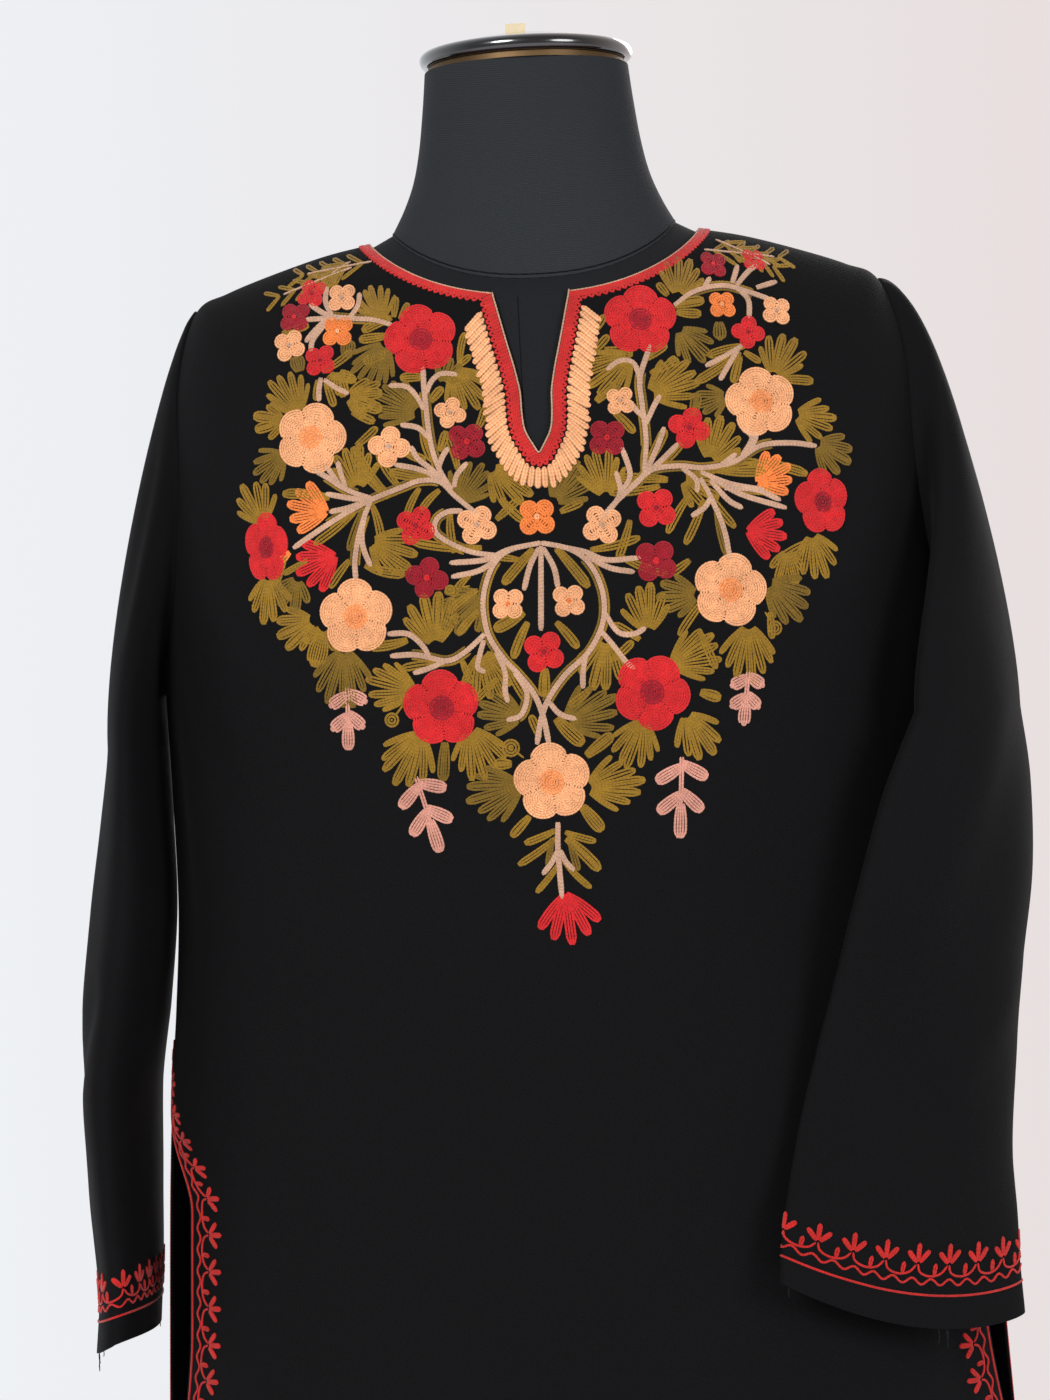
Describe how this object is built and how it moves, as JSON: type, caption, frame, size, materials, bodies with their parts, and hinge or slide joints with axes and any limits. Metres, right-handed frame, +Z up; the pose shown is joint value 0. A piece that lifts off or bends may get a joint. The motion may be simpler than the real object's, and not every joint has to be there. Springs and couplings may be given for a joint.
{
  "type": "pheran on a dress form",
  "caption": "Long-sleeved wool tunic with an embroidered yoke and side slits, worn on a limbless dress form that stands on a round base.",
  "frame": {"origin": "centre of the base's underside", "axes": "+Z up, -Y out of the garment's front, +X to the right of a viewer who faces the front"},
  "size_m": [0.5257, 0.4, 1.5141],
  "materials": {
    "twill": "near-black fine wool twill, soft, with chain-stitch embroidery in wool",
    "form_cloth": "charcoal cotton twill, stretched",
    "form_body": "black cover cloth, stretched",
    "gloss": "glossy black",
    "brass": "dull gold",
    "card": "matt cream",
    "stand": "satin black"
  },
  "bodies": {
    "root": {"front": "twill", "back": "twill", "sleeve_left": "twill", "sleeve_right": "twill", "form_body": "form_body", "form_neck": "form_cloth", "cap_strip": "brass", "cap": "gloss", "cap_tab": "card", "stand_pole": "stand", "stand_hub": "stand", "stand_base": "stand"}
  },
  "joints": []
}
